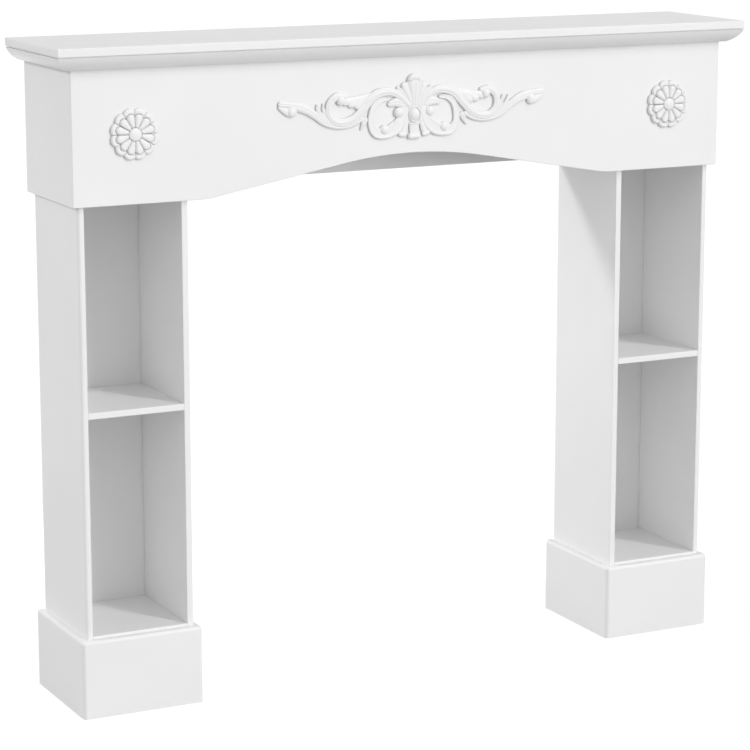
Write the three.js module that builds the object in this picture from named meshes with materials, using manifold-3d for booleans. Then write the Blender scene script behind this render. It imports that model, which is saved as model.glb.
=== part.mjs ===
// Fireplace mantelpiece of painted boards: a shelf on a crown moulding, an arched frieze with a
// moulded scroll and two rosettes, and two open columns on plinths.
// Millimetres. +X is the right-hand side, +Y points to the wall, +Z is up. The origin is on the
// floor, under the middle of the shelf.

import * as THREE from "three";
import { mergeVertices } from "three/addons/utils/BufferGeometryUtils.js";
import Module from "manifold-3d";

// Shelf
const shelfWidth = 1200;
const shelfDepth = 233;
const shelfThickness = 13;
const shelfEdgeRadius = 1.2;
const shelfOverhang = 30; // past the frieze, at the front and at both ends

// Crown moulding under the shelf
const crownHeight = 22;
const crownLip = 8; // flat underside that stands proud of the frieze
const crownBulge = 2.8; // how far the face bows out of its straight chord
const mitreGap = 0.3;

// Frieze
const friezeHeight = 205; // seen below the crown; the boards run up to the shelf behind it
const friezeBoard = 10;
const archRise = 52;
const archSetIn = 30; // flat left at each end of the arch, inside the columns
const archBow = 124; // half the width of the curved middle; straight flanks run on from it
const archEase = 14; // half the length of the hollow where a flank meets the flat
const railThickness = 10;

// Columns
const openingHeight = 799; // floor to the flat part of the frieze's lower edge
const columnWidth = 178;
const columnBoard = 10;
const columnSetback = 6; // the columns stop short of the wall by this much
const columnEdgeRadius = 4; // outer front upright edge
const nicheBackThickness = 10;
const nicheShelfThickness = 10;
const middleShelfTop = 482; // above the floor
const nicheFloorRise = 4; // floor board's top above the plinth's
const nicheTopRise = 26; // top board's underside above the frieze's lower edge, out of sight

// Plinths
const plinthHeight = 125;
const plinthThickness = 11;
const plinthTopRadius = 5.5;
const plinthCornerRadius = 6;

// Scroll ornament
const ornamentWidth = 470;
const ornamentHeight = 104;
const ornamentThickness = 8;
const ornamentFootHeight = 74; // its lowest point above the frieze's flat lower edge

// Rosettes
const rosetteDiameter = 81;
const rosetteThickness = 8;
const rosetteHeight = 106; // its centre above the frieze's flat lower edge
const petals = 12;

// Heights above the floor
const friezeTop = openingHeight + friezeHeight;
const shelfBottom = friezeTop + crownHeight;

// Places across the width, right of the middle
const shelfEnd = shelfWidth / 2;
const friezeEnd = shelfEnd - shelfOverhang;
const columnOuter = friezeEnd - friezeBoard;
const columnInner = columnOuter - columnWidth;
const columnMiddle = (columnOuter + columnInner) / 2;
const nicheOuter = columnOuter - columnBoard;
const nicheInner = columnInner + columnBoard;

// Places in depth, from the wall forward
const wall = shelfDepth / 2;
const shelfFront = wall - shelfDepth;
const friezeFace = shelfFront + shelfOverhang;
const columnFront = friezeFace + friezeBoard;
const columnBack = wall - columnSetback;
const nicheBack = columnBack - nicheBackThickness;

const paint = {
  boards: new THREE.MeshStandardMaterial({ color: 0xf4f4f3, roughness: 0.42, metalness: 0 }),
  inside: new THREE.MeshStandardMaterial({ color: 0xefefee, roughness: 0.5, metalness: 0 }),
  carving: new THREE.MeshStandardMaterial({ color: 0xf4f4f2, roughness: 0.4, metalness: 0 }),
};

const mantelpiece = new THREE.Group();

function add(name, geometry, material) {
  const mesh = new THREE.Mesh(geometry, material);
  mesh.name = name;
  mantelpiece.add(mesh);
}

// A board between two opposite corners. Neighbours that share a plane get the very same number.
function board(low, high) {
  const geometry = new THREE.BoxGeometry(1, 1, 1);
  const position = geometry.attributes.position;
  for (let i = 0; i < position.count; i++) {
    position.setXYZ(
      i,
      position.getX(i) > 0 ? high[0] : low[0],
      position.getY(i) > 0 ? high[1] : low[1],
      position.getZ(i) > 0 ? high[2] : low[2],
    );
  }
  return geometry;
}

// A plan outline in X and Y, raised from one height to another.
function upright(shape, bottom, top) {
  const geometry = new THREE.ExtrudeGeometry(shape, { depth: 1, bevelEnabled: false, curveSegments: 4 });
  const position = geometry.attributes.position;
  for (let i = 0; i < position.count; i++) {
    position.setZ(i, position.getZ(i) > 0.5 ? top : bottom);
  }
  return geometry;
}

// A front outline in X and Z, carried from a front face to a back face.
function standing(shape, front, back) {
  const geometry = new THREE.ExtrudeGeometry(shape, { depth: 1, bevelEnabled: false });
  const position = geometry.attributes.position;
  for (let i = 0; i < position.count; i++) {
    position.setXYZ(i, position.getX(i), position.getZ(i) > 0.5 ? front : back, position.getY(i));
  }
  return geometry;
}

// Joins sections that have the same number of corners into one closed skin with flat ends.
// The corners run anticlockwise when the path comes towards the eye.
function loft(sections, capCorners) {
  const size = sections[0].length;
  const points = sections.flat();
  const faces = [];
  // Where sections share a corner, the face between them closes up and is left out.
  const face = (...corners) => {
    const places = new Set(corners.map((i) => points[i].join()));
    if (places.size === 3) {
      faces.push(...corners);
    }
  };
  for (let s = 0; s + 1 < sections.length; s++) {
    for (let c = 0; c < size; c++) {
      const a = s * size + c;
      const b = s * size + ((c + 1) % size);
      face(a, b, b + size);
      face(a, b + size, a + size);
    }
  }
  const last = (sections.length - 1) * size;
  const turned = THREE.ShapeUtils.isClockWise(capCorners);
  for (const triangle of THREE.ShapeUtils.triangulateShape(capCorners, [])) {
    const [a, b, c] = turned ? triangle.reverse() : triangle;
    faces.push(a, c, b, last + a, last + b, last + c);
  }
  const geometry = new THREE.BufferGeometry();
  geometry.setAttribute("position", new THREE.Float32BufferAttribute(points.flat(), 3));
  geometry.setIndex(faces);
  geometry.computeVertexNormals();
  return geometry;
}

// Shelf: a board whose edges are rounded over all round.
function shelf() {
  const r = shelfEdgeRadius;
  const shape = new THREE.Shape();
  shape.moveTo(-shelfEnd + r, shelfFront + r);
  shape.lineTo(shelfEnd - r, shelfFront + r);
  shape.lineTo(shelfEnd - r, wall - r);
  shape.lineTo(-shelfEnd + r, wall - r);
  const geometry = new THREE.ExtrudeGeometry(shape, {
    depth: shelfThickness - 2 * r,
    bevelSize: r,
    bevelThickness: r,
    bevelSegments: 3,
  });
  const position = geometry.attributes.position;
  for (let i = 0; i < position.count; i++) {
    const z = position.getZ(i) + r;
    position.setZ(i, z < 1e-3 ? shelfBottom : shelfBottom + z);
  }
  return geometry;
}

// Crown profile: how far each point stands out from the frieze, and how high it is.
function crownProfile() {
  const chord = [shelfOverhang - crownLip, crownHeight];
  const length = Math.hypot(...chord);
  const outward = [chord[1] / length, -chord[0] / length];
  const profile = [[0, friezeTop], [crownLip, friezeTop]];
  const steps = 6;
  for (let i = 1; i < steps; i++) {
    const t = i / steps;
    const bow = 4 * crownBulge * t * (1 - t);
    profile.push([
      crownLip + chord[0] * t + outward[0] * bow,
      friezeTop + chord[1] * t + outward[1] * bow,
    ]);
  }
  profile.push([shelfOverhang, shelfBottom], [0, shelfBottom]);
  return profile;
}

// Crown moulding: one length along the front and one along each end, cut at 45 degrees.
function crown() {
  const profile = crownProfile();
  const corners = profile.map(([out, z]) => new THREE.Vector2(out, z));
  const gap = mitreGap / Math.SQRT2;
  const front = (side) => profile.map(([out, z]) => [side * (friezeEnd + out - gap), friezeFace - out, z]);
  add("crown_moulding_front", loft([front(1), front(-1)], corners), paint.boards);
  for (const [name, side] of [["left", -1], ["right", 1]]) {
    const mitred = profile.map(([out, z]) => [side * (friezeEnd + out), friezeFace - out + gap, z]);
    const square = profile.map(([out, z]) => [side * (friezeEnd + out), wall, z]);
    const ends = side > 0 ? [square, mitred] : [mitred, square];
    add("crown_moulding_" + name, loft(ends, corners), paint.boards);
  }
}

// Height of the arch above the frieze's flat lower edge, at a distance from the middle: a bow,
// a straight flank that runs on from it, and a hollow where the flank meets the flat.
function archHeight(x) {
  const halfSpan = columnInner - archSetIn;
  const slope = archRise / (halfSpan - archBow / 2);
  if (x < archBow) {
    return archRise - (slope * x * x) / (2 * archBow);
  }
  if (x < halfSpan - archEase) {
    return slope * (halfSpan - x);
  }
  return (slope * (halfSpan + archEase - x) ** 2) / (4 * archEase);
}

// Frieze front: a rectangle with the arch cut out of its lower edge.
function friezeFront() {
  const halfSpan = columnInner - archSetIn;
  const places = [];
  for (let i = 0; i <= 4; i++) {
    places.push(halfSpan + archEase - (i * 2 * archEase) / 4);
  }
  for (let i = 0; i < 10; i++) {
    places.push(archBow * (1 - i / 10));
  }
  const half = places.map((x) => [x, openingHeight + archHeight(x)]);
  const shape = new THREE.Shape();
  shape.moveTo(-friezeEnd, shelfBottom);
  shape.lineTo(-friezeEnd, openingHeight);
  half.forEach(([x, z]) => shape.lineTo(-x, z));
  shape.lineTo(0, openingHeight + archRise);
  half.reverse().forEach(([x, z]) => shape.lineTo(x, z));
  shape.lineTo(friezeEnd, openingHeight);
  shape.lineTo(friezeEnd, shelfBottom);
  return standing(shape, friezeFace, columnFront);
}

function frieze() {
  add("frieze_front", friezeFront(), paint.boards);
  const low = [columnOuter, columnFront, openingHeight];
  const high = [friezeEnd, wall, shelfBottom];
  add("frieze_side_right", board(low, high), paint.boards);
  add("frieze_side_left", board([-high[0], low[1], low[2]], [-low[0], high[1], high[2]]), paint.boards);
  const railFront = wall - railThickness;
  add(
    "frieze_rear_rail",
    board([-columnInner, railFront, openingHeight], [columnInner, wall, shelfBottom]),
    paint.inside,
  );
}

// Plan of an outer side panel: a rectangle whose outer front corner is rounded.
function outerPanelPlan(side) {
  const r = columnEdgeRadius;
  const shape = new THREE.Shape();
  shape.moveTo(side * nicheOuter, columnFront);
  shape.lineTo(side * (columnOuter - r), columnFront);
  shape.quadraticCurveTo(side * columnOuter, columnFront, side * columnOuter, columnFront + r);
  shape.lineTo(side * columnOuter, columnBack);
  shape.lineTo(side * nicheOuter, columnBack);
  return shape;
}

// One column: two side panels from floor to shelf, a back between them, and three cross boards.
function column(name, side) {
  const across = (a, b) => (side > 0 ? [a, b] : [-b, -a]);
  const part = (piece, [x0, x1], [y0, y1], [z0, z1]) =>
    add(`column_${name}_${piece}`, board([x0, y0, z0], [x1, y1, z1]), paint.boards);
  const niche = across(nicheInner, nicheOuter);
  const depth = [columnFront, nicheBack];
  const floorTop = plinthHeight + nicheFloorRise;
  const nicheTop = openingHeight + nicheTopRise;
  add(`column_${name}_outer_panel`, upright(outerPanelPlan(side), 0, shelfBottom), paint.boards);
  part("inner_panel", across(columnInner, nicheInner), [columnFront, columnBack], [0, shelfBottom]);
  part("back_panel", niche, [nicheBack, columnBack], [0, shelfBottom]);
  part("niche_floor", niche, depth, [floorTop - nicheShelfThickness, floorTop]);
  part("middle_shelf", niche, depth, [middleShelfTop - nicheShelfThickness, middleShelfTop]);
  part("niche_top", niche, depth, [nicheTop, nicheTop + nicheShelfThickness]);
}

// A plinth: one skirt that runs from the wall round the column's foot and back to the wall.
// Its section is upright with a rounded top edge, and the two front corners are rounded in plan.
function plinth(side) {
  const r = plinthCornerRadius;
  const steps = 4;
  const section = (inner, outward) => {
    const at = (out, z) => [inner[0] + outward[0] * out, inner[1] + outward[1] * out, z];
    const corners = [at(0, plinthHeight), at(0, 0), at(plinthThickness, 0)];
    for (let i = 0; i <= steps; i++) {
      const turn = ((i / steps) * Math.PI) / 2;
      corners.push(
        at(
          plinthThickness - plinthTopRadius * (1 - Math.cos(turn)),
          plinthHeight - plinthTopRadius * (1 - Math.sin(turn)),
        ),
      );
    }
    return corners;
  };
  const sections = [section([columnInner, wall], [-1, 0])];
  for (const corner of [columnInner, columnOuter]) {
    const way = corner === columnInner ? -1 : 1;
    const turns = [];
    for (let i = 0; i <= steps; i++) {
      const turn = ((i / steps) * Math.PI) / 2;
      // The outer face leaves the side, rounds the corner and joins the front.
      const x = 1 - (r / plinthThickness) * (1 - Math.cos(turn));
      const y = 1 - (r / plinthThickness) * (1 - Math.sin(turn));
      turns.push(section([corner, columnFront], [way * x, -y]));
    }
    sections.push(...(way < 0 ? turns : turns.reverse()));
  }
  sections.push(section([columnOuter, wall], [1, 0]));
  const placed = sections.map((corners) => corners.map(([x, y, z]) => [side * x, y, z]));
  const flat = sections[0].map(([x, , z]) => new THREE.Vector2(x, z));
  return loft(side > 0 ? placed.reverse() : placed, flat);
}

// Rosette: a domed boss and two tiers of round-ended petals, parted by grooves.
function rosetteRelief(r, angle) {
  const turn = (angle * petals) / (2 * Math.PI);
  const across = 2 * Math.abs(turn - Math.floor(turn) - 0.5);
  const groove = 1 - across ** 6;
  if (r < 0.25) {
    return 0.94 + 0.06 * (1 - (r / 0.25) ** 2);
  }
  const upperEnd = 0.8 - 0.1 * across ** 3;
  if (r < upperEnd) {
    const t = (r - 0.25) / (upperEnd - 0.25);
    return 0.5 + 0.12 * groove + 0.3 * groove * Math.sin(Math.PI * (0.12 + 0.76 * t));
  }
  return 0.42 + 0.14 * groove;
}

function rosette(side) {
  const around = petals * 6;
  const rim = rosetteDiameter / 2;
  const centre = [side * columnMiddle, openingHeight + rosetteHeight];
  const rings = [0.24, 0.29, 0.45, 0.64, 0.75, 0.83, 1];
  const vertices = [centre[0], friezeFace - rosetteThickness, centre[1]];
  const ring = (share, depth) => {
    for (let i = 0; i < around; i++) {
      const angle = (i / around) * 2 * Math.PI;
      const turn = (i / around) * petals;
      const lobe = 1 - 0.1 * (2 * Math.abs(turn - Math.floor(turn) - 0.5)) ** 3;
      const reach = rim * (share > 0.25 ? 1 + (lobe - 1) * share ** 2 : 1) * share;
      vertices.push(
        centre[0] + reach * Math.cos(angle),
        friezeFace - depth(angle),
        centre[1] + reach * Math.sin(angle),
      );
    }
  };
  rings.forEach((share) => ring(share, (angle) => rosetteThickness * rosetteRelief(share, angle)));
  ring(1, () => 0);
  vertices.push(centre[0], friezeFace, centre[1]);
  const faces = [];
  const last = (rings.length + 1) * around + 1;
  for (let i = 0; i < around; i++) {
    const next = (i + 1) % around;
    faces.push(0, 1 + i, 1 + next);
    for (let k = 0; k < rings.length; k++) {
      const a = 1 + k * around;
      const b = a + around;
      faces.push(a + i, b + i, b + next, a + i, b + next, a + next);
    }
    faces.push(last, last - around + next, last - around + i);
  }
  const geometry = new THREE.BufferGeometry();
  geometry.setAttribute("position", new THREE.Float32BufferAttribute(vertices, 3));
  geometry.setIndex(faces);
  geometry.computeVertexNormals();
  return geometry;
}

// The scrollwork is drawn at a scale of its own and fitted to the ornament's width and height.
// Each stroke is a path of [distance from the middle, height, half width], with the share of the
// thickness that it rises to. Both halves are alike.
const strokes = [
  // The great scroll, from its eye round the volute and over to the middle
  { rise: 0.85, path: [[121, 72, 4], [134, 73.5, 5], [147, 63, 5], [148.5, 46, 5], [137, 33, 5.5],
    [120, 31.5, 6], [103, 38.5, 6], [88, 53, 6.5], [73, 69.5, 7.5], [56, 76, 6.5], [37, 75, 5.5],
    [22, 66, 5], [9, 53, 4.5]] },
  // The inner scroll, down the side, round the foot and up again
  { rise: 0.75, path: [[46, 65, 2.5], [58, 63.5, 4], [69, 56, 5], [75, 40, 5], [74, 22, 5.5],
    [66, 12.5, 8], [51, 11.5, 9.5], [36, 17, 11], [25, 27, 9.5], [19.5, 41, 8], [16, 54, 6]] },
  // The tail, its rim under the volute and its flared end
  { rise: 0.65, path: [[230, 65, 5], [217, 63.5, 4.5], [202, 60, 7], [186, 54, 6.5], [172, 45, 5.5],
    [158, 34, 4.5], [142, 27.5, 4], [122, 25.5, 3.5], [104, 29.5, 4], [92, 36, 4]] },
  { rise: 0.5, path: [[232, 60, 3], [226, 56, 4.5], [217, 52, 6.5]] },
  // Two blades that wrap the tail
  { rise: 0.6, path: [[169, 61, 1.2], [167.5, 53, 3.5], [162, 44, 4.5], [152, 35, 4.5], [144, 30, 3]] },
  { rise: 0.55, path: [[159, 62, 1], [158, 54, 2.8], [155.5, 45, 3.2], [150, 36, 3.5], [143, 31, 3]] },
  // A lobed leaf inside the volute
  { rise: 0.6, path: [[78, 70, 5], [88, 67, 6.5], [100, 63, 7], [112, 63, 6], [124, 66, 5]] },
  { rise: 0.7, path: [[97, 60, 6], [97, 56, 6.5]] },
  { rise: 0.7, path: [[109, 62, 6], [109, 59.5, 6.5]] },
  { rise: 0.7, path: [[119, 64, 5.5], [119, 62, 5.5]] },
  // A drooping leaf inside the inner scroll
  { rise: 0.65, path: [[42, 57, 5.5], [32, 59, 7], [20, 56, 6]] },
  // A husk below the join
  { rise: 0.55, path: [[86, 34, 5], [89, 27, 4], [93, 19.5, 1.5]] },
  // Two side petals of the shell
  { rise: 0.8, path: [[4, 54, 2.5], [10, 70, 4], [14, 80, 4.5], [17, 86, 3.5]] },
  { rise: 0.7, path: [[7, 52, 2.5], [17, 66, 4], [24, 76, 4], [29, 81, 2.5]] },
  // A side foot
  { rise: 0.55, path: [[27, 9, 3.5], [19, 9, 5], [8, 9, 5]] },
];
const middleStrokes = [
  // The shell's ground, its middle petal, the pillar behind the boss and the foot
  { rise: 0.5, path: [[0, 48, 12], [0, 60, 15], [0, 74, 19], [0, 80, 17]] },
  { rise: 0.85, path: [[0, 50, 4], [0, 66, 6], [0, 80, 9], [0, 91.5, 12.5]] },
  { rise: 0.55, path: [[0, 57, 11], [0, 39, 12.5], [0, 24, 10], [0, 10, 8.5]] },
  { rise: 0.85, path: [[-8, 4.5, 4.5], [8, 4.5, 4.5]] },
];
// Berries and the oval boss: [distance from the middle, height, half width, half height, share]
const berries = [
  [128, 66, 7.5, 7.5, 1],
  [52.5, 17, 7.5, 7.5, 1],
  [27.5, 43, 8, 8, 1],
  [211.5, 52.5, 8, 8, 0.9],
];
const boss = [0, 39, 10, 12.5, 1];

// How far the drawing reaches: to each side of the middle, down and up.
const drawnPoints = [...strokes, ...middleStrokes].flatMap(({ path }) => path);
const drawnReach = Math.max(...drawnPoints.map(([along, , half]) => along + half));
const drawnBottom = Math.min(...drawnPoints.map(([, height, half]) => height - half));
const drawnTop = Math.max(...drawnPoints.map(([, height, half]) => height + half));

const wasm = await Module();
wasm.setup();

function toSolid(geometry) {
  const bare = geometry.clone();
  bare.deleteAttribute("normal");
  bare.deleteAttribute("uv");
  const merged = mergeVertices(bare, 1e-4);
  const mesh = new wasm.Mesh({
    numProp: 3,
    vertProperties: merged.attributes.position.array,
    triVerts: new Uint32Array(merged.index.array),
  });
  return new wasm.Manifold(mesh);
}

function toGeometry(solid) {
  const mesh = solid.getMesh();
  const geometry = new THREE.BufferGeometry();
  geometry.setAttribute("position", new THREE.BufferAttribute(mesh.vertProperties, 3));
  geometry.setIndex(new THREE.BufferAttribute(mesh.triVerts, 1));
  return geometry;
}

// Where a point of the drawing lies on the frieze, at a height of relief.
function onFrieze(along, height, relief) {
  const share = (height - drawnBottom) / (drawnTop - drawnBottom);
  return [
    (along / drawnReach) * (ornamentWidth / 2),
    friezeFace - relief,
    openingHeight + ornamentFootHeight + share * ornamentHeight,
  ];
}

// A stroke as a bar with bevelled shoulders and rounded ends, swept along a smooth curve.
function bar({ rise, path }, side) {
  const curve = new THREE.CatmullRomCurve3(path.map((p) => new THREE.Vector3(...p)), false, "centripetal");
  const steps = path.length > 2 ? Math.round(path.length * 1.75) : 1;
  const stations = [];
  for (let i = 0; i <= steps; i++) {
    const at = curve.getPoint(i / steps);
    const way = curve.getTangent(i / steps).setZ(0).normalize();
    stations.push({ x: at.x, z: at.y, half: at.z, way });
  }
  const rounded = (station, sign) =>
    [0.45, 0.85].map((turn) => ({
      x: station.x + sign * station.way.x * station.half * Math.sin((turn * Math.PI) / 2),
      z: station.z + sign * station.way.y * station.half * Math.sin((turn * Math.PI) / 2),
      half: station.half * Math.cos((turn * Math.PI) / 2),
      way: station.way,
      top: station.half,
    }));
  const all = [...rounded(stations[0], -1).reverse(), ...stations, ...rounded(stations.at(-1), 1)];
  const widest = Math.max(...stations.map((s) => s.half));
  const sections = all.map(({ x, z, half, way, top }) => {
    const full = ornamentThickness * rise * (0.55 + 0.45 * Math.sqrt((top ?? half) / widest));
    const height = full * (top ? 0.7 + 0.3 * (half / top) : 1);
    const at = (share, relief) => onFrieze(side * (x + way.y * half * share), z - way.x * half * share, relief);
    return [
      at(-1, 0),
      at(1, 0),
      at(1, 0.5 * height),
      at(0.55, height),
      at(-0.55, height),
      at(-1, 0.5 * height),
    ];
  });
  const corners = [[-1, 0], [1, 0], [1, 0.5], [0.55, 1], [-0.55, 1], [-1, 0.5]];
  const ordered = side > 0 ? sections.reverse() : sections;
  return loft(ordered, corners.map(([x, y]) => new THREE.Vector2(x, y)));
}

// A berry or boss: half an egg, flat at the back.
function dome([along, height, halfWidth, halfHeight, rise], side) {
  const profile = [new THREE.Vector2(0, 0), new THREE.Vector2(1, 0)];
  for (let i = 0; i <= 3; i++) {
    const turn = ((i / 3) * Math.PI) / 2;
    profile.push(new THREE.Vector2(i < 3 ? Math.cos(turn) : 0, 0.35 + 0.65 * Math.sin(turn)));
  }
  const geometry = new THREE.LatheGeometry(profile, 10);
  const position = geometry.attributes.position;
  for (let i = 0; i < position.count; i++) {
    const x = side * along + position.getX(i) * halfWidth;
    const z = height - position.getZ(i) * halfHeight;
    position.setXYZ(i, ...onFrieze(x, z, position.getY(i) * ornamentThickness * rise));
  }
  return geometry;
}

function ornament() {
  const solids = [];
  for (const side of [-1, 1]) {
    strokes.forEach((stroke) => solids.push(toSolid(bar(stroke, side))));
    berries.forEach((berry) => solids.push(toSolid(dome(berry, side))));
  }
  middleStrokes.forEach((stroke) => solids.push(toSolid(bar(stroke, 1))));
  solids.push(toSolid(dome(boss, 1)));
  return toGeometry(wasm.Manifold.union(solids));
}

add("mantel_shelf", shelf(), paint.boards);
crown();
frieze();
add("scroll_ornament", ornament(), paint.carving);
for (const [name, side] of [["left", -1], ["right", 1]]) {
  add(`rosette_${name}`, rosette(side), paint.carving);
  column(name, side);
  add(`plinth_${name}`, plinth(side), paint.boards);
}

export default mantelpiece;
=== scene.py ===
"""Fireplace mantelpiece of painted boards, with a moulded scroll and two rosettes on its frieze.

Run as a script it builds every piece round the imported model, lights it and places the camera.
Lengths are in metres. +X is to the right, +Y points to the wall and +Z is up.
"""

import math

import bpy
import numpy as np
from bpy.props import FloatProperty, FloatVectorProperty, PointerProperty
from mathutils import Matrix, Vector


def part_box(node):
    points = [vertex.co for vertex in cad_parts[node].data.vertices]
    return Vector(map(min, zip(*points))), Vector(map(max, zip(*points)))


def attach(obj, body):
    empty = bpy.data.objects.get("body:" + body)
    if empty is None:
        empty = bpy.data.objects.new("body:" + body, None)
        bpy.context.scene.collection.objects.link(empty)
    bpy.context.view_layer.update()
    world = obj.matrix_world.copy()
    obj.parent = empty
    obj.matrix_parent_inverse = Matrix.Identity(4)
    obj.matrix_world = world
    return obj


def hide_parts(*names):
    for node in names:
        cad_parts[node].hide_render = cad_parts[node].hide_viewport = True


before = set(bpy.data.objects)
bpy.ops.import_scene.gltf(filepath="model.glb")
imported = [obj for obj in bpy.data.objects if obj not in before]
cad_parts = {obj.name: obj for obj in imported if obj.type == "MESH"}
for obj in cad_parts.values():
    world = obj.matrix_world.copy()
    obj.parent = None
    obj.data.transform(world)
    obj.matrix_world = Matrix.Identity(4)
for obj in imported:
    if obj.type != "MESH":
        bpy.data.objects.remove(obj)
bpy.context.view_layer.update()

bl_info = {
    "name": "Fireplace mantelpiece",
    "version": (1, 0, 0),
    "blender": (4, 5, 0),
    "location": "3D View > Sidebar > Mantelpiece",
    "description": "Builds a painted fireplace surround with carved scrollwork",
    "category": "Add Mesh",
}

MM = 0.001
SIDES = {"left": -1, "right": 1}


def corners_of(node):
    """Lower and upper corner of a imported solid's box."""
    low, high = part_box(node)
    return np.array(low), np.array(high)


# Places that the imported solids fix
SHELF_LOW, SHELF_HIGH = corners_of("mantel_shelf")
FRIEZE_LOW, FRIEZE_HIGH = corners_of("frieze_front")
OUTER_LOW, OUTER_HIGH = corners_of("column_right_outer_panel")
SCROLL_LOW, SCROLL_HIGH = corners_of("scroll_ornament")
COLUMN_INNER = corners_of("column_right_inner_panel")[0][0]
COLUMN_OUTER = OUTER_HIGH[0]
COLUMN_FRONT = OUTER_LOW[1]
FACE = FRIEZE_LOW[1]
WALL = SHELF_HIGH[1]


class MantelShape(bpy.types.PropertyGroup):
    """Roundings and curves of the boards."""

    shelf_edge: FloatProperty(
        name="Shelf edge",
        description="Rounding of the shelf's edges",
        default=1.1 * MM,
        unit="LENGTH",
    )
    board_edge: FloatProperty(
        name="Board edge",
        description="Easing of the boards' open edges",
        default=0.9 * MM,
        unit="LENGTH",
    )
    column_edge: FloatProperty(
        name="Column edge",
        description="Rounding of a column's outer edge",
        default=4 * MM,
        unit="LENGTH",
    )
    plinth_edge: FloatProperty(
        name="Plinth edge",
        description="Rounding of a plinth's top edge",
        default=5.5 * MM,
        unit="LENGTH",
    )
    plinth_corner: FloatProperty(
        name="Plinth corner",
        description="Rounding of a plinth's corners",
        default=6 * MM,
        unit="LENGTH",
    )
    crown_lip: FloatProperty(
        name="Crown lip",
        description="Flat underside of the moulding",
        default=8 * MM,
        unit="LENGTH",
    )
    crown_bulge: FloatProperty(
        name="Crown bulge",
        description="Bow of the moulding's face",
        default=2.8 * MM,
        unit="LENGTH",
    )
    crown_quirk: FloatProperty(
        name="Crown quirk",
        description="Height of the groove under the shelf",
        default=1.5 * MM,
        unit="LENGTH",
    )
    arch_rise: FloatProperty(
        name="Arch rise",
        description="Height of the arch",
        default=52 * MM,
        unit="LENGTH",
    )
    arch_flat: FloatProperty(
        name="Arch flat",
        description="Flat left beside each column",
        default=30 * MM,
        unit="LENGTH",
    )
    arch_bow: FloatProperty(
        name="Arch bow",
        description="Half the width of the curved crown",
        default=124 * MM,
        unit="LENGTH",
    )
    arch_ease: FloatProperty(
        name="Arch ease",
        description="Half the length of each foot's curve",
        default=14 * MM,
        unit="LENGTH",
    )


class MantelFinish(bpy.types.PropertyGroup):
    """Colours and gloss of the lacquer, and the grey of the painted shade in the carving's hollows.
    """

    lacquer: FloatVectorProperty(
        name="Lacquer",
        description="Colour of the boards",
        subtype="COLOR",
        default=(0.9, 0.9, 0.9),
    )
    inside: FloatVectorProperty(
        name="Inside",
        description="Colour of the hidden boards",
        subtype="COLOR",
        default=(0.86, 0.86, 0.86),
    )
    # Painted shade: the grey that the carving's lacquer blends in low in the relief, in place of the
    # shadow that falls in its hollows.
    painted_hollow_shade: FloatVectorProperty(
        name="Painted hollow shade",
        description="Colour in the carving's hollows",
        subtype="COLOR",
        default=(0.5, 0.5, 0.5),
    )
    roughness: FloatProperty(
        name="Roughness",
        description="Satin sheen of the lacquer",
        default=0.42,
        subtype="FACTOR",
    )
    peel: FloatProperty(
        name="Orange peel",
        description="Depth of the lacquer's ripple",
        default=0.03 * MM,
        unit="LENGTH",
    )


class MantelStudio(bpy.types.PropertyGroup):
    """Light and floor round the object."""

    floor: FloatVectorProperty(
        name="Floor",
        description="Colour of the floor",
        subtype="COLOR",
        default=(0.52, 0.52, 0.52),
    )
    sky: FloatProperty(
        name="Sky",
        description="Strength of the light from all round",
        default=0.59,
    )
    key: FloatProperty(
        name="Key light",
        description="Tall light from the front right",
        default=1.53,
    )
    rear: FloatProperty(
        name="Rear light",
        description="Light from behind on the left",
        default=0.9,
    )
    fill: FloatProperty(
        name="Fill light",
        description="Very soft light from the front left",
        default=0.16,
    )
    panel: FloatProperty(
        name="Rear panel",
        description="Watts of the panel behind the opening",
        default=2.7,
    )
    backdrop: FloatProperty(
        name="Backdrop",
        description="Glow that whitens the floor in view",
        default=0.6,
    )


def upright_faces(points, faces):
    """Turns all faces over if the skin is inside out, which its signed volume tells."""
    volume = 0.0
    for corners in {len(face) for face in faces}:
        ring = points[np.array([face for face in faces if len(face) == corners])]
        for k in range(1, corners - 1):
            volume += np.einsum("ij,ij->i", ring[:, 0], np.cross(ring[:, k], ring[:, k + 1])).sum()
    return [face[::-1] for face in faces] if volume < 0 else faces


def carried(sections):
    """Skin of an outline carried through space: corner j of section i joins its four neighbours,
    and a fan round its middle closes each end."""
    count, corners, _ = sections.shape
    points = np.concatenate([sections.reshape(-1, 3), sections[[0, -1]].mean(axis=1)])
    i, j = np.meshgrid(np.arange(count - 1), np.arange(corners), indexing="ij")
    a = i * corners + j
    b = i * corners + (j + 1) % corners
    around = np.stack([a, b, b + corners, a + corners], axis=-1).reshape(-1, 4)
    j = np.arange(corners)
    k = (j + 1) % corners
    last = (count - 1) * corners
    first_end = np.stack([k, j, np.full(corners, count * corners)], axis=-1)
    last_end = np.stack([last + j, last + k, np.full(corners, count * corners + 1)], axis=-1)
    faces = around.tolist() + first_end.tolist() + last_end.tolist()
    return points, upright_faces(points, faces)


def dome_skin(rings, bottom):
    """Skin of a round relief: ring i of points round its middle, closed at the top by a fan and at
    the back by another round the point given."""
    count, around, _ = rings.shape
    points = np.concatenate([rings.reshape(-1, 3), rings[:1].mean(axis=1), [bottom]])
    i, j = np.meshgrid(np.arange(count - 1), np.arange(around), indexing="ij")
    a = i * around + j
    b = i * around + (j + 1) % around
    sheet = np.stack([a, b, b + around, a + around], axis=-1).reshape(-1, 4)
    j = np.arange(around)
    k = (j + 1) % around
    last = (count - 1) * around
    top = np.stack([k, j, np.full(around, count * around)], axis=-1)
    back = np.stack([last + j, last + k, np.full(around, count * around + 1)], axis=-1)
    faces = sheet.tolist() + top.tolist() + back.tolist()
    return points, upright_faces(points, faces)


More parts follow.
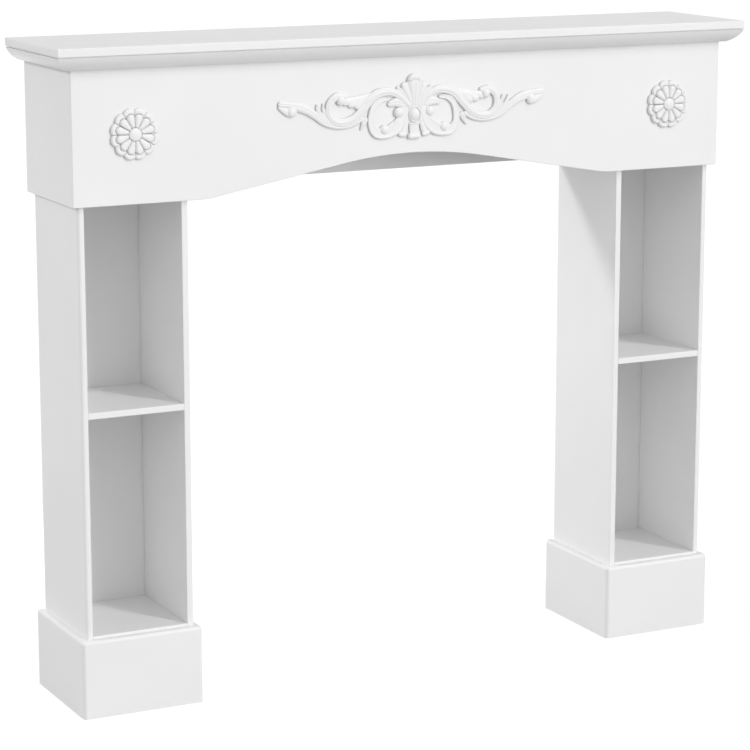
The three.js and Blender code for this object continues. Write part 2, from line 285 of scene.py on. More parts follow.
def joined(skins):
    """Several skins as one list of points and faces."""
    starts = np.cumsum([0] + [len(points) for points, _ in skins])
    points = np.concatenate([points for points, _ in skins])
    faces = [[start + i for i in face] for start, (_, part) in zip(starts, skins) for face in part]
    return points, faces


def add_object(name, data):
    """Puts new data into the scene as an object."""
    thing = bpy.data.objects.new(name, data)
    bpy.context.scene.collection.objects.link(thing)
    return thing


def make_piece(name, node, skin, material, sharp=35.0):
    """Makes one object of a skin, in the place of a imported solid, riding on the body. Edges sharper
    than so many degrees stay crisp."""
    points, faces = skin
    mesh = bpy.data.meshes.new(name)
    mesh.from_pydata(points.tolist(), [], faces)
    mesh.shade_smooth()
    mesh.set_sharp_from_angle(angle=math.radians(sharp))
    mesh.materials.append(material)
    piece = add_object(name, mesh)
    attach(piece, "root")
    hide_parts(node)
    return piece


def make_carving(name, node, skin):
    """Makes a carved piece, and stores each point's height above the frieze, as a share of the
    solid's thickness, which the lacquer uses to paint shade in its hollows."""
    piece = make_piece(name, node, skin, carving_lacquer_with_shade(), sharp=50.0)
    low, high = corners_of(node)
    points = np.empty(len(piece.data.vertices) * 3)
    piece.data.vertices.foreach_get("co", points)
    # Height share that the lacquer reads to paint shade low in the relief
    crest = (high[1] - points[1::3]) / (high[1] - low[1])
    piece.data.attributes.new("crest", "FLOAT", "POINT").data.foreach_set("value", crest)


def outline(low, high, radii, inset=0.0, steps=4):
    """Rectangle with rounded corners, anticlockwise from the lower left. Each corner is a quarter
    circle of its own radius, with a point a little further along the flat on either side, which
    keeps the flat's shading flat. A corner of no radius is one point. An inset draws it all in."""
    low = np.asarray(low, float) + np.asarray(inset, float)[..., None]
    high = np.asarray(high, float) - np.asarray(inset, float)[..., None]
    signs = ((-1, -1), (1, -1), (1, 1), (-1, 1))
    parts = []
    for quarter, (sign, radius) in enumerate(zip(signs, radii)):
        sign = np.array(sign)
        corner = np.where(sign > 0, high, low)[..., None, :]
        if radius == 0:
            parts.append(corner)
            continue
        r = np.maximum(radius - np.asarray(inset, float), 0.15 * radius)[..., None, None]
        turn = (quarter + 2) * math.pi / 2 + np.linspace(0, math.pi / 2, steps + 1)
        arc = corner - sign * r + r * np.stack([np.cos(turn), np.sin(turn)], axis=-1)
        ends = np.stack([-np.sin(turn[[0, -1]]), np.cos(turn[[0, -1]])], axis=-1) * 0.5 * radius
        parts += [arc[..., :1, :] - ends[:1], arc, arc[..., -1:, :] + ends[1:]]
    return np.concatenate(parts, axis=-2)


def board(low, high, along, radii, end_radii=(0.0, 0.0)):
    """Board between two opposite corners: a rounded rectangle carried along one axis. At a rounded
    end it draws in by r(1 - cos t) while it nears the end as r(1 - sin t), and the last step lies
    on the end itself."""
    low = np.asarray(low, float)
    high = np.asarray(high, float)
    cross = [axis for axis in range(3) if axis != along]
    turn = np.radians([0, 20, 40, 60, 81])
    places = []
    insets = []
    for end, sign, radius in ((low[along], 1, end_radii[0]), (high[along], -1, end_radii[1])):
        if radius == 0:
            place = np.array([end])
            inset = np.zeros(1)
        else:
            away = np.concatenate([[1.5], 1 - np.sin(turn)]) * radius
            away[-1] = 0
            place = (end + sign * away)[::-1]
            inset = (np.concatenate([[0], 1 - np.cos(turn)]) * radius)[::-1]
        places.append(place[::sign])
        insets.append(inset[::sign])
    place = np.concatenate(places)
    flat = outline(np.tile(low[cross], (len(place), 1)), high[cross], radii, np.concatenate(insets))
    sections = np.empty(flat.shape[:2] + (3,))
    sections[..., cross] = flat
    sections[..., along] = place[:, None]
    return carried(sections)


def lacquer(name, colour, roughness, peel, mottle, seed, painted_hollow_shade=None):
    """Sprayed lacquer, made on its first call: faint clouds in the colour, a sheen that varies a
    little, the orange peel of the spray and, below it, a slow waviness of the board. With a shade
    colour given, it also paints shade: the low places of the relief, read from the piece's own height
    attribute, take that grey."""
    if name in bpy.data.materials:
        return bpy.data.materials[name]
    material = bpy.data.materials.new(name)
    material.use_nodes = True
    nodes = material.node_tree.nodes
    links = material.node_tree.links
    shader = nodes["Principled BSDF"]
    place = nodes.new("ShaderNodeTexCoord")
    shift = nodes.new("ShaderNodeMapping")
    shift.inputs["Location"].default_value = (seed, seed * 0.37, seed * 0.61)
    links.new(place.outputs["Object"], shift.inputs["Vector"])

    def noise(scale, detail, rough=0.5):
        """Grey clouds, so many to the metre."""
        node = nodes.new("ShaderNodeTexNoise")
        node.inputs["Scale"].default_value = scale
        node.inputs["Detail"].default_value = detail
        node.inputs["Roughness"].default_value = rough
        links.new(shift.outputs["Vector"], node.inputs["Vector"])
        return node.outputs["Fac"]

    def ramp(source, low, high):
        """The clouds' middle greys, spread from one value to another."""
        node = nodes.new("ShaderNodeMapRange")
        node.inputs["From Min"].default_value = 0.3
        node.inputs["From Max"].default_value = 0.7
        node.inputs["To Min"].default_value = low
        node.inputs["To Max"].default_value = high
        links.new(source, node.inputs["Value"])
        return node.outputs["Result"]

    clouds = nodes.new("ShaderNodeMix")
    clouds.data_type = "RGBA"
    clouds.inputs[6].default_value = (*[c * (1 - mottle) for c in colour], 1)
    clouds.inputs[7].default_value = (*[min(1, c * (1 + mottle)) for c in colour], 1)
    links.new(ramp(noise(scale=5.0, detail=4.0), 0.0, 1.0), clouds.inputs[0])
    tint = clouds.outputs[2]
    # Painted shade: where the relief is low, near the frieze, the colour blends to the grey of the
    # shade.
    if painted_hollow_shade is not None:
        depth = nodes.new("ShaderNodeAttribute")
        depth.attribute_name = "crest"
        rise = nodes.new("ShaderNodeMapRange")
        rise.interpolation_type = "SMOOTHSTEP"
        rise.inputs["From Min"].default_value = 0.05
        rise.inputs["From Max"].default_value = 0.34
        links.new(depth.outputs["Fac"], rise.inputs["Value"])
        shade = nodes.new("ShaderNodeMix")
        shade.data_type = "RGBA"
        shade.inputs[6].default_value = (*painted_hollow_shade, 1)
        links.new(rise.outputs["Result"], shade.inputs[0])
        links.new(tint, shade.inputs[7])
        tint = shade.outputs[2]
    links.new(tint, shader.inputs["Base Color"])
    sheen = ramp(noise(scale=38.0, detail=3.0), roughness - 0.04, roughness + 0.05)
    links.new(sheen, shader.inputs["Roughness"])
    wave = nodes.new("ShaderNodeBump")
    wave.inputs["Strength"].default_value = 0.35
    wave.inputs["Distance"].default_value = peel * 6
    links.new(noise(scale=9.0, detail=1.0), wave.inputs["Height"])
    skin = nodes.new("ShaderNodeBump")
    skin.inputs["Strength"].default_value = 0.6
    skin.inputs["Distance"].default_value = peel
    links.new(noise(scale=420.0, detail=2.0, rough=0.6), skin.inputs["Height"])
    links.new(wave.outputs["Normal"], skin.inputs["Normal"])
    links.new(skin.outputs["Normal"], shader.inputs["Normal"])
    return material


def lacquer_on_boards():
    """The lacquer of all boards that show."""
    finish = bpy.context.scene.mantel_finish
    return lacquer(
        "Lacquer", finish.lacquer, finish.roughness, finish.peel, mottle=0.012, seed=3.1
    )


def lacquer_inside():
    """The thinner coat on the hidden boards, duller and rougher than the rest."""
    finish = bpy.context.scene.mantel_finish
    roughness = finish.roughness + 0.1
    return lacquer(
        "Thin lacquer", finish.inside, roughness, finish.peel * 1.6, mottle=0.02, seed=7.7
    )


def carving_lacquer_with_shade():
    """The lacquer of the moulded ornaments, with shade painted grey in the hollows."""
    finish = bpy.context.scene.mantel_finish
    roughness = finish.roughness - 0.03
    return lacquer(
        "Carving lacquer with painted shade",
        finish.lacquer,
        roughness,
        finish.peel,
        mottle=0.01,
        seed=5.3,
        painted_hollow_shade=finish.painted_hollow_shade,
    )


def crown_profile(lip, bulge, quirk):
    """Moulding's section as distance from the frieze and height: a flat underside, a small nose, a
    face that bows out of its straight chord by 4 b t (1 - t), with t from 0 to 1 along it, and a
    square groove under the shelf, twice as deep as it is high."""
    reach = SHELF_HIGH[0] - FRIEZE_HIGH[0] - 0.4 * quirk
    low, high = (corner[2] for corner in corners_of("crown_moulding_front"))
    chord = np.array([reach - lip, high - quirk - low])
    outward = np.array([chord[1], -chord[0]]) / np.hypot(*chord)
    t = np.concatenate([[0.0, 0.012, 0.03], np.linspace(0.08, 1, 14)])[:, None]
    face = [lip, low] + chord * t + outward * 4 * bulge * t * (1 - t)
    nose = 0.7 * MM
    face[0] += [-nose * 0.2, nose * 0.25]
    underside = [[0, low], [lip - 2.5 * nose, low], [lip - 1.2 * nose, low + 0.02 * nose]]
    groove = [[reach - 2 * quirk, high - quirk], [reach - 2 * quirk, high], [0, high]]
    return np.concatenate([underside, face, groove])


class MANTEL_OT_shelf(bpy.types.Operator):
    """Make the shelf: a board rounded on every edge"""

    bl_idname = "mantel.shelf"
    bl_label = "Shelf"

    def execute(self, context):
        r = context.scene.mantel_shape.shelf_edge
        skin = board(SHELF_LOW, SHELF_HIGH, 0, (r, r, r, r), (r, r))
        make_piece("Shelf", "mantel_shelf", skin, lacquer_on_boards())
        return {"FINISHED"}


class MANTEL_OT_crown(bpy.types.Operator):
    """Make the crown moulding: one profile along the front and both ends, mitred at the corners"""

    bl_idname = "mantel.crown"
    bl_label = "Crown moulding"

    def execute(self, context):
        # A length is its profile at both ends, where a mitre goes as far forward as it goes out.
        shape = context.scene.mantel_shape
        profile = crown_profile(shape.crown_lip, shape.crown_bulge, shape.crown_quirk)
        out, z = profile.T
        end = FRIEZE_HIGH[0]
        mitre = np.stack([end + out, FACE - out, z], axis=-1)
        square = np.stack([end + out, np.full_like(out, WALL), z], axis=-1)
        flip = np.array([-1, 1, 1])
        lengths = {
            "front": np.stack([mitre * flip, mitre]),
            "left": np.stack([square * flip, mitre * flip]),
            "right": np.stack([mitre, square]),
        }
        for name, sections in lengths.items():
            node = f"crown_moulding_{name}"
            skin = carried(sections)
            make_piece(
                f"Moulding_{name}", node, skin, lacquer_on_boards(), sharp=28.0
            )
        return {"FINISHED"}


class MANTEL_OT_frieze(bpy.types.Operator):
    """Make the frieze: an arched front, two returns and the rail at the wall"""

    bl_idname = "mantel.frieze"
    bl_label = "Frieze"

    @staticmethod
    def arch(x, shape):
        """Height of the arch at x. The middle is a parabola, h - s x^2 / 2b, the flanks run
        straight down at the slope s, and each foot is a parabola that ends level."""
        half_span = COLUMN_INNER - shape.arch_flat
        slope = shape.arch_rise / (half_span - shape.arch_bow / 2)
        x = np.abs(x)
        bow = shape.arch_rise - slope * x**2 / (2 * shape.arch_bow)
        flank = slope * (half_span - x)
        foot_end = np.clip(half_span + shape.arch_ease - x, 0, None)
        foot = slope * foot_end**2 / (4 * shape.arch_ease)
        outer = np.where(x < half_span - shape.arch_ease, flank, foot)
        return np.where(x < shape.arch_bow, bow, outer)

    def execute(self, context):
        shape = context.scene.mantel_shape
        r = shape.board_edge
        foot = COLUMN_INNER - shape.arch_flat + shape.arch_ease
        # Close steps along the arch, one long one over the flat and a quarter circle at the end
        turn = np.radians([0, 20, 40, 60, 90])
        away = np.concatenate([[1.6], 1 - np.sin(turn)]) * r
        arch_steps = np.linspace(0, foot, 70)
        half = np.concatenate([arch_steps, [foot + 2 * MM], FRIEZE_HIGH[0] - away])
        recess = np.concatenate([np.zeros(len(half) - len(turn)), (1 - np.cos(turn)) * r])
        x = np.concatenate([-half[:0:-1], half])
        recess = np.concatenate([recess[:0:-1], recess])
        low = np.stack([FACE + recess, FRIEZE_LOW[2] + self.arch(x, shape)], axis=-1)
        high = np.broadcast_to(FRIEZE_HIGH[1:], low.shape)
        flat = outline(low, high, (r, r, 0, 0), np.zeros(len(x)))
        across = np.broadcast_to(x[:, None, None], flat.shape[:2] + (1,))
        front = carried(np.concatenate([across, flat], axis=-1))
        material = lacquer_on_boards()
        make_piece("Frieze_front", "frieze_front", front, material, sharp=40.0)
        for name, side in SIDES.items():
            node = f"frieze_side_{name}"
            radii = (r, 0, 0, 0) if side < 0 else (0, r, 0, 0)
            skin = board(*corners_of(node), 1, radii)
            make_piece(f"Frieze_{name}", node, skin, material)
        rail = board(*corners_of("frieze_rear_rail"), 0, (r, r, 0, 0))
        make_piece("Rear_rail", "frieze_rear_rail", rail, lacquer_inside())
        return {"FINISHED"}


class MANTEL_OT_columns(bpy.types.Operator):
    """Make both columns: two side panels, a back and three cross boards in each"""

    bl_idname = "mantel.columns"
    bl_label = "Columns"

    def execute(self, context):
        shape = context.scene.mantel_shape
        r = shape.board_edge
        big = shape.column_edge
        finishes = {"painted_board": lacquer_on_boards(), "painted_board_inside": lacquer_inside()}
        for name, side in SIDES.items():
            outer = (big, r, r, r) if side < 0 else (r, big, r, r)
            # Uprights run along axis 2, cross boards along axis 0 with eased ends.
            boards = {
                "outer_panel": (2, outer, "painted_board"),
                "inner_panel": (2, (r, r, r, r), "painted_board"),
                "back_panel": (2, (r, r, 0, 0), "painted_board"),
                "niche_floor": (0, (r, 0, r, r), "painted_board"),
                "middle_shelf": (0, (r, r, r, r), "painted_board"),
                "niche_top": (0, (r, r, 0, r), "painted_board_inside"),
            }
            for part, (along, radii, slot) in boards.items():
                node = f"column_{name}_{part}"
                ends = (r, r) if along == 0 else (0, 0)
                skin = board(*corners_of(node), along, radii, ends)
                make_piece(f"{part}_{name}", node, skin, finishes[slot])
        return {"FINISHED"}


class MANTEL_OT_plinths(bpy.types.Operator):
    """Make both plinths: one skirt with a rounded top edge round three sides of a column's foot"""

    bl_idname = "mantel.plinths"
    bl_label = "Plinths"

    def execute(self, context):
        shape = context.scene.mantel_shape
        low, high = corners_of("plinth_right")
        thickness = high[0] - COLUMN_OUTER
        radii = (0, 0, shape.plinth_edge, 0.5 * MM)
        flat = outline((0, 0), (thickness, high[2]), radii, steps=8)
        out, z = flat.T
        # The skirt's section turns a corner by stepping out along (wx, wy), which runs from one side
        # to the next round a quarter circle.
        share = shape.plinth_corner / thickness
        turn = np.linspace(0, math.pi / 2, 9)
        way = np.stack([1 - share * (1 - np.cos(turn)), share * (1 - np.sin(turn)) - 1], axis=-1)

        def at(x, y, wx, wy):
            return np.stack([x + wx * out, y + wy * out, z], axis=-1)

        start = at(COLUMN_INNER, WALL, -1, 0)
        inner_turn = [at(COLUMN_INNER, COLUMN_FRONT, -wx, wy) for wx, wy in way]
        outer_turn = [at(COLUMN_OUTER, COLUMN_FRONT, wx, wy) for wx, wy in way[::-1]]
        end = at(COLUMN_OUTER, WALL, 1, 0)
        sections = np.array([start, *inner_turn, *outer_turn, end])
        for name, side in SIDES.items():
            node = f"plinth_{name}"
            skin = carried(sections * np.array([side, 1, 1]))
            make_piece(
                f"Plinth_{name}", node, skin, lacquer_on_boards(), sharp=30.0
            )
        return {"FINISHED"}


# A rosette's petals and boss, as shares of its radius
PETALS = 12
HALF_PETAL = math.pi / PETALS
TIP_CENTRE = 0.72
TIP_RADIUS = 0.28
INNER_TIP_CENTRE = 0.63
BOSS_RADIUS = 0.25


def rosette_rim(delta):
    """Reach of a petal whose tip is a circle, at an angle from its middle."""
    aside = TIP_CENTRE * np.sin(delta)
    return TIP_CENTRE * np.cos(delta) + np.sqrt(TIP_RADIUS**2 - aside**2)


def pillow(share):
    """Height of a quarter circle at a share of the way in from its foot, flat past the end."""
    return np.sqrt(1 - (1 - np.clip(share, 0, 1)) ** 2)


def rosette_height(r, delta):
    """Height of a rosette as a share, from the distance to its middle and the angle from a petal's
    middle. Outer petals are pillows whose edges rise as quarter circles from the grooves beside
    them and from the rim. They dip round the raised inner petals, which are wedges with a round
    end and pillowed too. A moat lies round the boss, which is a dome."""
    across = r * np.sin(HALF_PETAL - np.abs(delta))
    rim = rosette_rim(delta) - r
    outer = 0.14 + 0.5 * pillow(np.minimum(across / 0.05, rim / 0.08))
    along = r * np.cos(delta)
    aside = np.abs(r * np.sin(delta))
    width = 0.9 * math.tan(HALF_PETAL) * np.minimum(along, INNER_TIP_CENTRE)
    past_tip = np.hypot(along - INNER_TIP_CENTRE, aside)
    inside = width - np.where(along < INNER_TIP_CENTRE, aside, past_tip)
    outer = outer * (1 - 0.75 * np.exp(-((inside / 0.025) ** 2)))
    inner = 0.55 + 0.35 * pillow(inside / 0.09)
    moat = 0.05 + 0.9 * pillow((r - BOSS_RADIUS - 0.006) / 0.06)
    height = np.minimum(np.where(inside > 0, inner, outer), moat)
    boss = 0.75 + 0.25 * np.sqrt(np.clip(1 - (r / BOSS_RADIUS) ** 2, 0, 1))
    return np.where(r < BOSS_RADIUS, boss, height)


class MANTEL_OT_rosettes(bpy.types.Operator):
    """Make the two rosettes of twelve petals"""

    bl_idname = "mantel.rosettes"
    bl_label = "Rosettes"

    def execute(self, context):
        steps = 32 * PETALS
        angle = np.arange(steps) / steps * 2 * math.pi
        delta = np.mod(angle, 2 * HALF_PETAL) - HALF_PETAL
        # Rings over the boss are round, and those past it follow the petals' rim.
        boss = np.concatenate([np.linspace(0.02, 0.24, 8), [0.247, 0.253]])[:, None]
        beyond = np.concatenate([np.linspace(0.262, 0.97, 62), [0.99, 1]])[:, None]
        r = np.concatenate([boss * np.ones(steps), beyond * rosette_rim(delta)])
        height = rosette_height(r, np.broadcast_to(delta, r.shape))
        r = np.concatenate([r, r[-1:]])
        height = np.concatenate([height, np.zeros((1, steps))])
        for name in SIDES:
            node = f"rosette_{name}"
            low, high = corners_of(node)
            centre = (low + high) / 2
            size = high - low
            rings = np.stack(
                [
                    centre[0] + r * np.cos(angle) * size[0] / 2,
                    high[1] - height * size[1],
                    centre[2] + r * np.sin(angle) * size[2] / 2,
                ],
                axis=-1,
            )
            skin = dome_skin(rings, (centre[0], high[1], centre[2]))
            make_carving(f"Rosette_{name}", node, skin)
        return {"FINISHED"}


# Sections of the carved bands: height as a share, from the place across them, -1 to 1
def bead(w):
    """A round-shouldered band on a low wall: the root of 1 - |w| to the power 2.6."""
    return 0.55 + 0.45 * np.sqrt(1 - np.abs(w) ** 2.6)


def reeds(w):
    """A round-shouldered band with a fine groove a little inside either edge."""
    groove = np.exp(-(((np.abs(w) - 0.5) / 0.11) ** 2))
    return 0.55 + 0.45 * np.sqrt(1 - np.abs(w) ** 2.6) - 0.13 * groove


def channel(w):
    """A band with a raised rim on either side of a shallow dip."""
    rim = np.exp(-(((np.abs(w) - 0.74) / 0.2) ** 2))
    return 0.55 + 0.3 * np.sqrt(1 - np.abs(w) ** 2.6) + 0.15 * rim


def leaf(w):
    """A leaf that is round across, with a vein cut down its middle."""
    return 0.5 + 0.5 * np.sqrt(1 - np.abs(w) ** 2.2) - 0.13 * np.exp(-((w / 0.12) ** 2))


# The scrollwork, in drawing units. Each band is a path of (distance from the middle, height, half
# width), with its section and the share of the thickness it rises to. Both halves are alike.
BANDS = [
    # The great scroll, from its eye round the volute and over to the middle
    (reeds, 0.72, [(121, 72, 4.5), (134, 73.5, 5.5), (146.5, 63, 5.8), (148, 46, 6),
        (137, 33.5, 6.2), (120, 32, 6.5), (103, 39, 6.5), (88, 53, 6.8), (73, 69, 7.5),
        (56, 76, 7), (37, 75, 6.2), (22, 66, 5.5), (9, 53, 4.5)]),
    # The inner scroll, down the side, round the foot and up again
    (channel, 0.62, [(46, 65, 2.5), (58, 63.5, 4), (69, 56, 5), (75, 40, 5.5), (74, 22, 6),
        (66, 12.5, 8), (51, 11.5, 9.5), (36, 17, 11), (25, 27, 9.5), (19.5, 41, 8), (16, 54, 6)]),
    # The tail, its rim under the volute and its flared end
    (leaf, 0.58, [(230, 65, 5), (217, 63.5, 5), (202, 60, 7), (186, 54, 7), (172, 45, 6),
        (158, 34, 5), (142, 27.5, 4.5), (122, 25.5, 4), (104, 29.5, 4), (92, 36, 4)]),
    (bead, 0.5, [(232, 60, 3), (226, 56, 4.5), (217, 52, 6.5)]),
    # Two blades that wrap the tail
    (leaf, 0.55, [(169, 61, 1.2), (167.5, 53, 3.5), (162, 44, 4.5), (152, 35, 4.5),
        (144, 30, 3)]),
    (leaf, 0.5, [(159, 62, 1), (158, 54, 2.8), (155.5, 45, 3.2), (150, 36, 3.5), (143, 31, 3)]),
    # A lobed leaf inside the volute
    (bead, 0.56, [(78, 70, 6), (88, 67, 7.5), (100, 64, 8), (112, 64, 7), (124, 66, 5)]),
    (bead, 0.6, [(94, 61, 6), (99, 57.5, 6.5)]),
    (bead, 0.6, [(106, 61, 6), (110, 59.5, 6)]),
    (bead, 0.6, [(117, 64, 5), (120, 62.5, 5)]),
    # A drooping leaf inside the inner scroll
    (leaf, 0.58, [(42, 57, 5), (32, 59, 7), (20, 56, 6)]),
    # A husk below the join
    (leaf, 0.5, [(86, 34, 5), (89, 27, 4), (93, 19.5, 1.5)]),
    # Two side petals of the shell
    (bead, 0.68, [(3, 52, 2.5), (9, 66, 4.5), (14.5, 78, 6), (17, 84, 6)]),
    (leaf, 0.6, [(6, 52, 2.5), (16, 65, 4.5), (24, 76, 4.5), (28.5, 81, 3)]),
    # A side leaf of the pillar and its rolled foot
    (bead, 0.52, [(12, 46, 3), (12.5, 34, 4), (15, 20, 4.5), (19, 11, 5)]),
    (bead, 0.6, [(17.5, 7.5, 4), (24, 8.5, 4)]),
]
MIDDLE_BANDS = [
    # The shell's ground, its middle petal and that petal's curled tip
    (bead, 0.5, [(0, 48, 12), (0, 60, 15), (0, 74, 19), (0, 80, 17)]),
    (leaf, 0.78, [(0, 50, 4.5), (0, 62, 6.5), (0, 74, 9.2), (0, 84, 11.2), (0, 89, 11.6)]),
    (bead, 0.92, [(-8, 94.5, 3.8), (-5, 96.8, 5), (0, 98.2, 5.6), (5, 96.8, 5), (8, 94.5, 3.8)]),
    # The pillar behind the boss, its collar and the foot
    (bead, 0.5, [(0, 57, 11), (0, 39, 12), (0, 24, 9), (0, 12, 8)]),
    (bead, 0.6, [(-8.5, 24.5, 1.4), (8.5, 24.5, 1.4)]),
    (bead, 0.75, [(-7, 4.5, 4.5), (7, 4.5, 4.5)]),
]
# Berries and the oval boss: distance from the middle, height, half width, half height, and the
# share of the thickness they rise to
BERRIES = [
    (128, 66, 7.5, 7.5, 0.9),
    (52.5, 17, 7.5, 7.5, 0.85),
    (27.5, 43, 8, 8, 0.9),
    (211.5, 52.5, 8, 8, 0.8),
]
BOSS = (0, 39, 11.5, 13.5, 1)
# How far the drawing reaches to either side, and how high
DRAWN_REACH = 235
DRAWN_TOP = 104


def on_frieze(along, height, relief):
    """Place on the frieze of a point of the drawing that stands out by a share of the thickness."""
    size = SCROLL_HIGH - SCROLL_LOW
    return np.stack(
        [
            (SCROLL_LOW[0] + SCROLL_HIGH[0]) / 2 + along / DRAWN_REACH * size[0] / 2,
            SCROLL_HIGH[1] - relief * size[1],
            SCROLL_LOW[2] + height / DRAWN_TOP * size[2],
        ],
        axis=-1,
    )


def smooth_path(path, steps):
    """Centripetal Catmull-Rom curve through the path's points, with so many steps between each two.
    Its knots lie apart by the root of the distance, and three rounds of blending make the curve."""
    p = np.array(path, float)
    if len(p) == 2:
        return p[0] + (p[1] - p[0]) * np.linspace(0, 1, steps + 1)[:, None]
    p = np.concatenate([2 * p[:1] - p[1:2], p, 2 * p[-1:] - p[-2:-1]])
    knots = np.concatenate([[0], np.cumsum(np.linalg.norm(np.diff(p, axis=0), axis=1) ** 0.5)])
    spans = range(1, len(p) - 2)
    t = [np.linspace(knots[i], knots[i + 1], steps, endpoint=False) for i in spans]
    t = np.append(np.concatenate(t), knots[-2])
    i = np.clip(np.searchsorted(knots, t, side="right") - 1, 1, len(p) - 3)

    def blend(a, b, i0, i1):
        share = ((t - knots[i0]) / (knots[i1] - knots[i0]))[:, None]
        return a * (1 - share) + b * share

    a1 = blend(p[i - 1], p[i], i - 1, i)
    a2 = blend(p[i], p[i + 1], i, i + 1)
    a3 = blend(p[i + 1], p[i + 2], i + 1, i + 2)
    b1 = blend(a1, a2, i - 1, i + 1)
    b2 = blend(a2, a3, i, i + 2)
    return blend(b1, b2, i, i + 1)


def band_skin(section, rise, path, side, steps=7):
    """A carved band: its section carried along a smooth path. At each end the width shrinks as
    cos t while the place moves on as sin t, so the end is round."""
    curve = smooth_path(path, steps)
    way = np.gradient(curve[:, :2], axis=0)
    way /= np.linalg.norm(way, axis=1, keepdims=True)
    turn = np.radians([88, 75, 60, 45, 30, 15])
    widest = curve[:, 2].max()
    full = rise * (0.55 + 0.45 * np.sqrt(curve[:, 2] / widest))
    parts = []
    for end, sign, order in ((0, -1, 1), (-1, 1, -1)):
        half = curve[end, 2]
        place = curve[end, :2] + sign * way[end] * half * np.sin(turn)[:, None]
        low = full[end] * (0.55 + 0.45 * np.cos(turn) ** 0.7)
        ends = np.column_stack([place, half * np.cos(turn), np.tile(way[end], (6, 1)), low])
        parts.append(ends[::order])
    body = np.column_stack([curve, way, full])
    x, z, half, way_x, way_z, full = np.concatenate([parts[0], body, parts[1]]).T[:, :, None]
    w = np.sin(np.linspace(-1, 1, 21) * math.pi / 2)
    across = np.concatenate([[-1], w, [1]])
    relief = np.concatenate([[0], section(w), [0]])
    along = side * (x + way_z * half * across)
    return carried(on_frieze(along, z - way_x * half * across, full * relief))


def berry_skin(berry, side, rim=False):
    """A berry: an oval whose height over the frieze is a low wall and half an egg. The boss has a
    thin rim round its egg."""
    x, z, half_x, half_z, rise = berry
    angle = np.arange(48) / 48 * 2 * math.pi
    share = np.sin(np.linspace(0.05, 1, 22) * math.pi / 2)
    egg = 0.76 if rim else 1
    relief = 0.45 + 0.55 * np.sqrt(np.clip(1 - (share / egg) ** 2, 0, 1))
    if rim:
        ring = 0.5 + 0.3 * np.sin((share - egg) / (1 - egg) * math.pi)
        relief = np.where(share > egg, ring, relief)
    share = np.append(share, 1)[:, None]
    relief = np.append(relief, 0)[:, None] * rise
    along = side * x + share * half_x * np.cos(angle)
    rings = on_frieze(along, z + share * half_z * np.sin(angle), relief * np.ones_like(along))
    return dome_skin(rings, on_frieze(side * x, z, 0.0))


class MANTEL_OT_scrollwork(bpy.types.Operator):
    """Make the scroll ornament of bands, leaves and berries"""

    bl_idname = "mantel.scrollwork"
    bl_label = "Scroll ornament"

    def execute(self, context):
        skins = []
        for side in SIDES.values():
            skins += [band_skin(*band, side) for band in BANDS]
            skins += [berry_skin(berry, side) for berry in BERRIES]
        skins += [band_skin(*band, 1) for band in MIDDLE_BANDS]
        skins.append(berry_skin(BOSS, 1, rim=True))
        make_carving("Scrollwork", "scroll_ornament", joined(skins))
        return {"FINISHED"}


# Heights of the key's lights in degrees, then the camera: focal length and frame in the
# photograph's pixels, place in metres, and degrees that it looks down and to the right
KEY_HEIGHTS = (2, 10, 20, 31, 42)
FOCAL_PX = 2738
FRAME_PX = 750
SENSOR_MM = 36
CAMERA_PLACE = (-1.9816, -3.8988, 1.3909)
CAMERA_DOWN = 11.81
CAMERA_RIGHT = 26.66


def far_light(name, azimuth, height, spread, strength):
    """A far soft light, in degrees: its azimuth runs from the front to the right, its height from
    level, and its spread is the width of its disc."""
    data = bpy.data.lights.new(name, "SUN")
    data.energy = strength
    data.angle = math.radians(spread)
    lamp = add_object(name, data)
    lamp.rotation_euler = (math.radians(90 - height), 0, math.radians(azimuth))


def camera_only(tree, socket, plain, seen):
    """Gives a socket one value where the camera sees it, and another where it lights things."""
    path = tree.nodes.new("ShaderNodeLightPath")
    level = tree.nodes.new("ShaderNodeMapRange")
    level.inputs["To Min"].default_value = plain
    level.inputs["To Max"].default_value = seen
    tree.links.new(path.outputs["Is Camera Ray"], level.inputs["Value"])
    tree.links.new(level.outputs["Result"], socket)


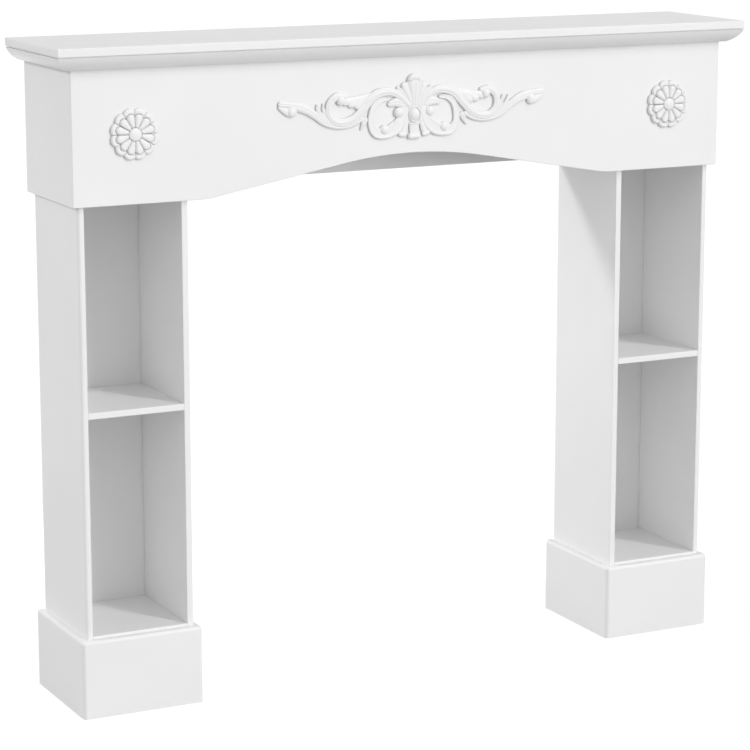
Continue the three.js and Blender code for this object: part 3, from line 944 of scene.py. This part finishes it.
class MANTEL_OT_studio(bpy.types.Operator):
    """Make the floor, the soft lights and the camera"""

    bl_idname = "mantel.studio"
    bl_label = "Studio"

    @staticmethod
    def floor(studio):
        """A matt floor far wider than the view, white where the camera sees it."""
        mesh = bpy.data.meshes.new("Floor")
        reach = 25
        corners = [(-reach, -reach, 0), (reach, -reach, 0), (reach, reach, 0), (-reach, reach, 0)]
        mesh.from_pydata(corners, [], [(0, 1, 2, 3)])
        floor = add_object("Floor", mesh)
        material = bpy.data.materials.new("floor")
        material.use_nodes = True
        shader = material.node_tree.nodes["Principled BSDF"]
        shader.inputs["Base Color"].default_value = (*studio.floor, 1)
        shader.inputs["Roughness"].default_value = 0.8
        shader.inputs["Specular IOR Level"].default_value = 0.1
        shader.inputs["Emission Color"].default_value = (1, 1, 1, 1)
        glow = shader.inputs["Emission Strength"]
        camera_only(material.node_tree, glow, 0.0, studio.backdrop)
        mesh.materials.append(material)

    @staticmethod
    def lights(scene, studio):
        """Light from all round, a tall key, a light from behind, a fill and a panel."""
        world = scene.world or bpy.data.worlds.new("Studio")
        scene.world = world
        world.use_nodes = True
        sky = world.node_tree.nodes["Background"]
        sky.inputs["Color"].default_value = (1, 1, 1, 1)
        camera_only(world.node_tree, sky.inputs["Strength"], studio.sky, 1.0)
        # The key is a tall strip of light, so what overhangs casts no hard edge below it.
        for height in KEY_HEIGHTS:
            far_light(f"Key_{height}", 30, height, 8, studio.key / len(KEY_HEIGHTS))
        far_light("Rear", -120, 27, 9, studio.rear)
        far_light("Fill", -55, 20, 60, studio.fill)
        # A weak soft panel behind the opening lights the inner face of the far column.
        panel = bpy.data.lights.new("Panel", "AREA")
        panel.size = 0.8
        panel.energy = studio.panel
        lamp = add_object("Panel", panel)
        lamp.location = (-0.35, 1.1, 0.5)
        lamp.rotation_euler = (math.radians(-90), 0, math.radians(32))
        lamp.visible_camera = False

    @staticmethod
    def camera(scene):
        """The camera at the photograph's viewing angle."""
        lens = bpy.data.cameras.new("Camera")
        lens.lens = FOCAL_PX / FRAME_PX * SENSOR_MM
        lens.sensor_width = SENSOR_MM
        lens.clip_end = 100
        camera = add_object("Camera", lens)
        camera.location = CAMERA_PLACE
        camera.rotation_euler = (math.radians(90 - CAMERA_DOWN), 0, math.radians(-CAMERA_RIGHT))
        scene.camera = camera
        scene.view_settings.view_transform = "Standard"

    def execute(self, context):
        studio = context.scene.mantel_studio
        self.floor(studio)
        self.lights(context.scene, studio)
        self.camera(context.scene)
        return {"FINISHED"}


OPERATORS = [
    MANTEL_OT_shelf,
    MANTEL_OT_crown,
    MANTEL_OT_frieze,
    MANTEL_OT_columns,
    MANTEL_OT_plinths,
    MANTEL_OT_rosettes,
    MANTEL_OT_scrollwork,
    MANTEL_OT_studio,
]


class MANTEL_PT_panel(bpy.types.Panel):
    """Lists the mantelpiece's pieces, sizes and finishes."""

    bl_idname = "MANTEL_PT_panel"
    bl_label = "Mantelpiece"
    bl_space_type = "VIEW_3D"
    bl_region_type = "UI"
    bl_category = "Mantelpiece"

    def draw(self, context):
        for operator in OPERATORS:
            self.layout.operator(operator.bl_idname)
        scene = context.scene
        for settings in (scene.mantel_shape, scene.mantel_finish, scene.mantel_studio):
            box = self.layout.box()
            for name in settings.__annotations__:
                box.prop(settings, name)


CLASSES = [MantelShape, MantelFinish, MantelStudio, *OPERATORS, MANTEL_PT_panel]


def register():
    for cls in CLASSES:
        bpy.utils.register_class(cls)
    bpy.types.Scene.mantel_shape = PointerProperty(type=MantelShape)
    bpy.types.Scene.mantel_finish = PointerProperty(type=MantelFinish)
    bpy.types.Scene.mantel_studio = PointerProperty(type=MantelStudio)


def unregister():
    del bpy.types.Scene.mantel_studio
    del bpy.types.Scene.mantel_finish
    del bpy.types.Scene.mantel_shape
    for cls in reversed(CLASSES):
        bpy.utils.unregister_class(cls)


def main():
    register()
    bpy.ops.mantel.shelf()
    bpy.ops.mantel.crown()
    bpy.ops.mantel.frieze()
    bpy.ops.mantel.columns()
    bpy.ops.mantel.plinths()
    bpy.ops.mantel.rosettes()
    bpy.ops.mantel.scrollwork()
    bpy.ops.mantel.studio()


if __name__ == "__main__":
    main()
